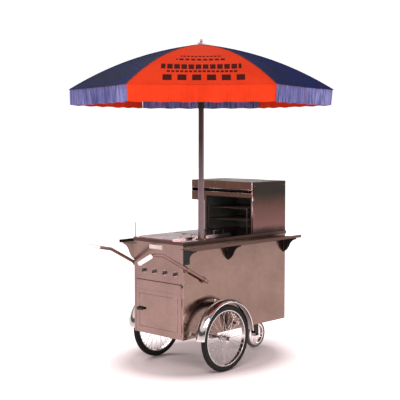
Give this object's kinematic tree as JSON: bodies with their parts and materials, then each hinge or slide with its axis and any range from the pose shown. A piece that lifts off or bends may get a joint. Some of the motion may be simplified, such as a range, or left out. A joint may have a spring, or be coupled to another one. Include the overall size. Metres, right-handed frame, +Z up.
{
  "type": "push vending cart",
  "caption": "Stainless push cart for hot food with an oven box, steam pans, side shelves, spoked wheels, a rear caster, push handles and a folding umbrella.",
  "frame": {"origin": "on the ground under the umbrella pole's axis", "axes": "+Z up; the push handles are at the -X end, the oven at the +X end; -Y is the customer's side, beside the pole"},
  "size_m": [1.9363, 1.9012, 2.494],
  "materials": {
    "stainless": "brushed",
    "frame_steel": "satin",
    "dark_oven": "satin",
    "black": "satin",
    "chrome": "polished",
    "tyre": "matte",
    "caster_rubber": "matte",
    "knob": "gloss",
    "grip": "matte",
    "brass": "satin",
    "bottle": "gloss",
    "pole_metal": "satin",
    "red_fabric": "woven",
    "blue_fabric": "woven"
  },
  "bodies": {
    "cart": {"chassis_frame": "frame_steel", "axle": "frame_steel", "side_panel_right": "stainless", "side_panel_left": "stainless", "rear_panel": "stainless", "floor_pan": "stainless", "front_panel": "stainless", "vent_plate": "black", "countertop": "stainless", "steam_pans": "stainless", "gas_train": "brass", "gas_bottle": "bottle", "shelf_right": "stainless", "shelf_left": "stainless", "shelf_brackets": "black", "oven_shell": "stainless", "oven_header": "dark_oven", "oven_racks": "chrome", "fenders": "chrome", "caster_plate": "frame_steel", "handle_bars": "stainless", "handle_grips": "grip", "handle_clamps": "frame_steel", "corner_rod": "chrome", "umbrella_socket": "stainless"},
    "wheel_right": {"tyre_right": "tyre", "rim_right": "chrome", "spoked_hub_right": "chrome"},
    "wheel_left": {"tyre_left": "tyre", "rim_left": "chrome", "spoked_hub_left": "chrome"},
    "caster": {"caster_fork": "black"},
    "caster_wheel": {"caster_tyre": "caster_rubber", "caster_rim": "stainless"},
    "drawer": {"drip_drawer": "stainless"},
    "door": {"door": "stainless"},
    "latch": {"door_latch": "black"},
    "lid_front": {"lid_front": "stainless"},
    "lid_rear": {"lid_rear": "stainless"},
    "umbrella": {"pole": "pole_metal", "crown": "black", "canopy_red": "red_fabric", "canopy_blue": "blue_fabric"},
    "runner": {"runner": "black"},
    "knob_1": {"knob_1": "knob"},
    "knob_2": {"knob_2": "knob"},
    "knob_3": {"knob_3": "knob"},
    "knob_4": {"knob_4": "knob"},
    "rib_1": {"rib_1": "pole_metal"},
    "stretcher_1": {"stretcher_1": "pole_metal"},
    "rib_2": {"rib_2": "pole_metal"},
    "stretcher_2": {"stretcher_2": "pole_metal"},
    "rib_3": {"rib_3": "pole_metal"},
    "stretcher_3": {"stretcher_3": "pole_metal"},
    "rib_4": {"rib_4": "pole_metal"},
    "stretcher_4": {"stretcher_4": "pole_metal"},
    "rib_5": {"rib_5": "pole_metal"},
    "stretcher_5": {"stretcher_5": "pole_metal"},
    "rib_6": {"rib_6": "pole_metal"},
    "stretcher_6": {"stretcher_6": "pole_metal"}
  },
  "joints": [
    {"name": "wheel_right_spin", "type": "hinge", "parent": "cart", "child": "wheel_right", "pos_m": [0.085, -0.17, 0.254], "axis": [0, 1, 0], "continuous": true},
    {"name": "wheel_left_spin", "type": "hinge", "parent": "cart", "child": "wheel_left", "pos_m": [0.085, 0.57, 0.254], "axis": [0, 1, 0], "continuous": true},
    {"name": "caster_swivel", "type": "hinge", "parent": "cart", "child": "caster", "pos_m": [0.8, 0.2, 0.26], "axis": [0, 0, 1], "continuous": true},
    {"name": "caster_spin", "type": "hinge", "parent": "caster", "child": "caster_wheel", "pos_m": [0.865, 0.2, 0.11], "axis": [0, 1, 0], "continuous": true},
    {"name": "drawer_slide", "type": "slide", "parent": "cart", "child": "drawer", "axis": [-1, 0, 0], "range_m": [0, 0.33]},
    {"name": "door_hinge", "type": "hinge", "parent": "cart", "child": "door", "pos_m": [-0.2625, -0.047, 0.4475], "axis": [0, 0, 1], "range_deg": [0, 110]},
    {"name": "latch_turn", "type": "hinge", "parent": "door", "child": "latch", "pos_m": [-0.262, 0.405, 0.457], "axis": [1, 0, 0], "range_deg": [0, 90]},
    {"name": "lid_front_hinge", "type": "hinge", "parent": "cart", "child": "lid_front", "pos_m": [-0.07, 0.432, 1.0055], "axis": [-1, 0, 0], "range_deg": [0, 100]},
    {"name": "lid_rear_hinge", "type": "hinge", "parent": "cart", "child": "lid_rear", "pos_m": [0.29, 0.432, 1.0055], "axis": [-1, 0, 0], "range_deg": [0, 100]},
    {"name": "umbrella_lift", "type": "slide", "parent": "cart", "child": "umbrella", "axis": [0, 0, 1], "range_m": [0, 0.29]},
    {"name": "umbrella_close", "type": "slide", "parent": "umbrella", "child": "runner", "axis": [0, 0, -1], "range_m": [0, 0.50926], "deforming": ["canopy_red", "canopy_blue"]},
    {"name": "knob_1_turn", "type": "hinge", "parent": "cart", "child": "knob_1", "pos_m": [-0.259, 0.018, 0.757], "axis": [1, 0, 0], "range_deg": [0, 120]},
    {"name": "knob_2_turn", "type": "hinge", "parent": "cart", "child": "knob_2", "pos_m": [-0.259, 0.13, 0.757], "axis": [1, 0, 0], "range_deg": [0, 120]},
    {"name": "knob_3_turn", "type": "hinge", "parent": "cart", "child": "knob_3", "pos_m": [-0.259, 0.242, 0.757], "axis": [1, 0, 0], "range_deg": [0, 120]},
    {"name": "knob_4_turn", "type": "hinge", "parent": "cart", "child": "knob_4", "pos_m": [-0.259, 0.354, 0.757], "axis": [1, 0, 0], "range_deg": [0, 120]},
    {"name": "rib_1_hinge", "type": "hinge", "parent": "umbrella", "child": "rib_1", "pos_m": [-0.00837, -0.02881, 2.44599], "axis": [0.9603, -0.279, 0], "range_deg": [-0.5, 61]},
    {"name": "stretcher_1_hinge", "type": "hinge", "parent": "runner", "child": "stretcher_1", "pos_m": [-0.00103, -0.04656, 2.03605], "axis": [-0.9603, 0.279, 0], "range_deg": [-0.5, 39.76]},
    {"name": "rib_2_hinge", "type": "hinge", "parent": "umbrella", "child": "rib_2", "pos_m": [0.02076, -0.02165, 2.44599], "axis": [0.7218, 0.6921, 0], "range_deg": [-0.5, 61]},
    {"name": "stretcher_2_hinge", "type": "hinge", "parent": "runner", "child": "stretcher_2", "pos_m": [0.03981, -0.02417, 2.03605], "axis": [-0.7218, -0.6921, 0], "range_deg": [-0.5, 39.76]},
    {"name": "rib_3_hinge", "type": "hinge", "parent": "umbrella", "child": "rib_3", "pos_m": [0.02913, 0.00716, 2.44599], "axis": [-0.2385, 0.9711, 0], "range_deg": [-0.5, 61]},
    {"name": "stretcher_3_hinge", "type": "hinge", "parent": "runner", "child": "stretcher_3", "pos_m": [0.04084, 0.02239, 2.03605], "axis": [0.2385, -0.9711, 0], "range_deg": [-0.5, 39.76]},
    {"name": "rib_4_hinge", "type": "hinge", "parent": "umbrella", "child": "rib_4", "pos_m": [0.00837, 0.02881, 2.44599], "axis": [-0.9603, 0.279, 0], "range_deg": [-0.5, 61]},
    {"name": "stretcher_4_hinge", "type": "hinge", "parent": "runner", "child": "stretcher_4", "pos_m": [0.00103, 0.04656, 2.03605], "axis": [0.9603, -0.279, 0], "range_deg": [-0.5, 39.76]},
    {"name": "rib_5_hinge", "type": "hinge", "parent": "umbrella", "child": "rib_5", "pos_m": [-0.02076, 0.02165, 2.44599], "axis": [-0.7218, -0.6921, 0], "range_deg": [-0.5, 61]},
    {"name": "stretcher_5_hinge", "type": "hinge", "parent": "runner", "child": "stretcher_5", "pos_m": [-0.03981, 0.02417, 2.03605], "axis": [0.7218, 0.6921, 0], "range_deg": [-0.5, 39.76]},
    {"name": "rib_6_hinge", "type": "hinge", "parent": "umbrella", "child": "rib_6", "pos_m": [-0.02913, -0.00716, 2.44599], "axis": [0.2385, -0.9711, 0], "range_deg": [-0.5, 61]},
    {"name": "stretcher_6_hinge", "type": "hinge", "parent": "runner", "child": "stretcher_6", "pos_m": [-0.04084, -0.02239, 2.03605], "axis": [-0.2385, 0.9711, 0], "range_deg": [-0.5, 39.76]}
  ],
  "couplings": [
    {"joint": "rib_1_hinge", "follows": "umbrella_close", "rad_per_m": 2.0563},
    {"joint": "stretcher_1_hinge", "follows": "umbrella_close", "rad_per_m": 1.3284},
    {"joint": "rib_2_hinge", "follows": "umbrella_close", "rad_per_m": 2.0563},
    {"joint": "stretcher_2_hinge", "follows": "umbrella_close", "rad_per_m": 1.3284},
    {"joint": "rib_3_hinge", "follows": "umbrella_close", "rad_per_m": 2.0563},
    {"joint": "stretcher_3_hinge", "follows": "umbrella_close", "rad_per_m": 1.3284},
    {"joint": "rib_4_hinge", "follows": "umbrella_close", "rad_per_m": 2.0563},
    {"joint": "stretcher_4_hinge", "follows": "umbrella_close", "rad_per_m": 1.3284},
    {"joint": "rib_5_hinge", "follows": "umbrella_close", "rad_per_m": 2.0563},
    {"joint": "stretcher_5_hinge", "follows": "umbrella_close", "rad_per_m": 1.3284},
    {"joint": "rib_6_hinge", "follows": "umbrella_close", "rad_per_m": 2.0563},
    {"joint": "stretcher_6_hinge", "follows": "umbrella_close", "rad_per_m": 1.3284}
  ]
}
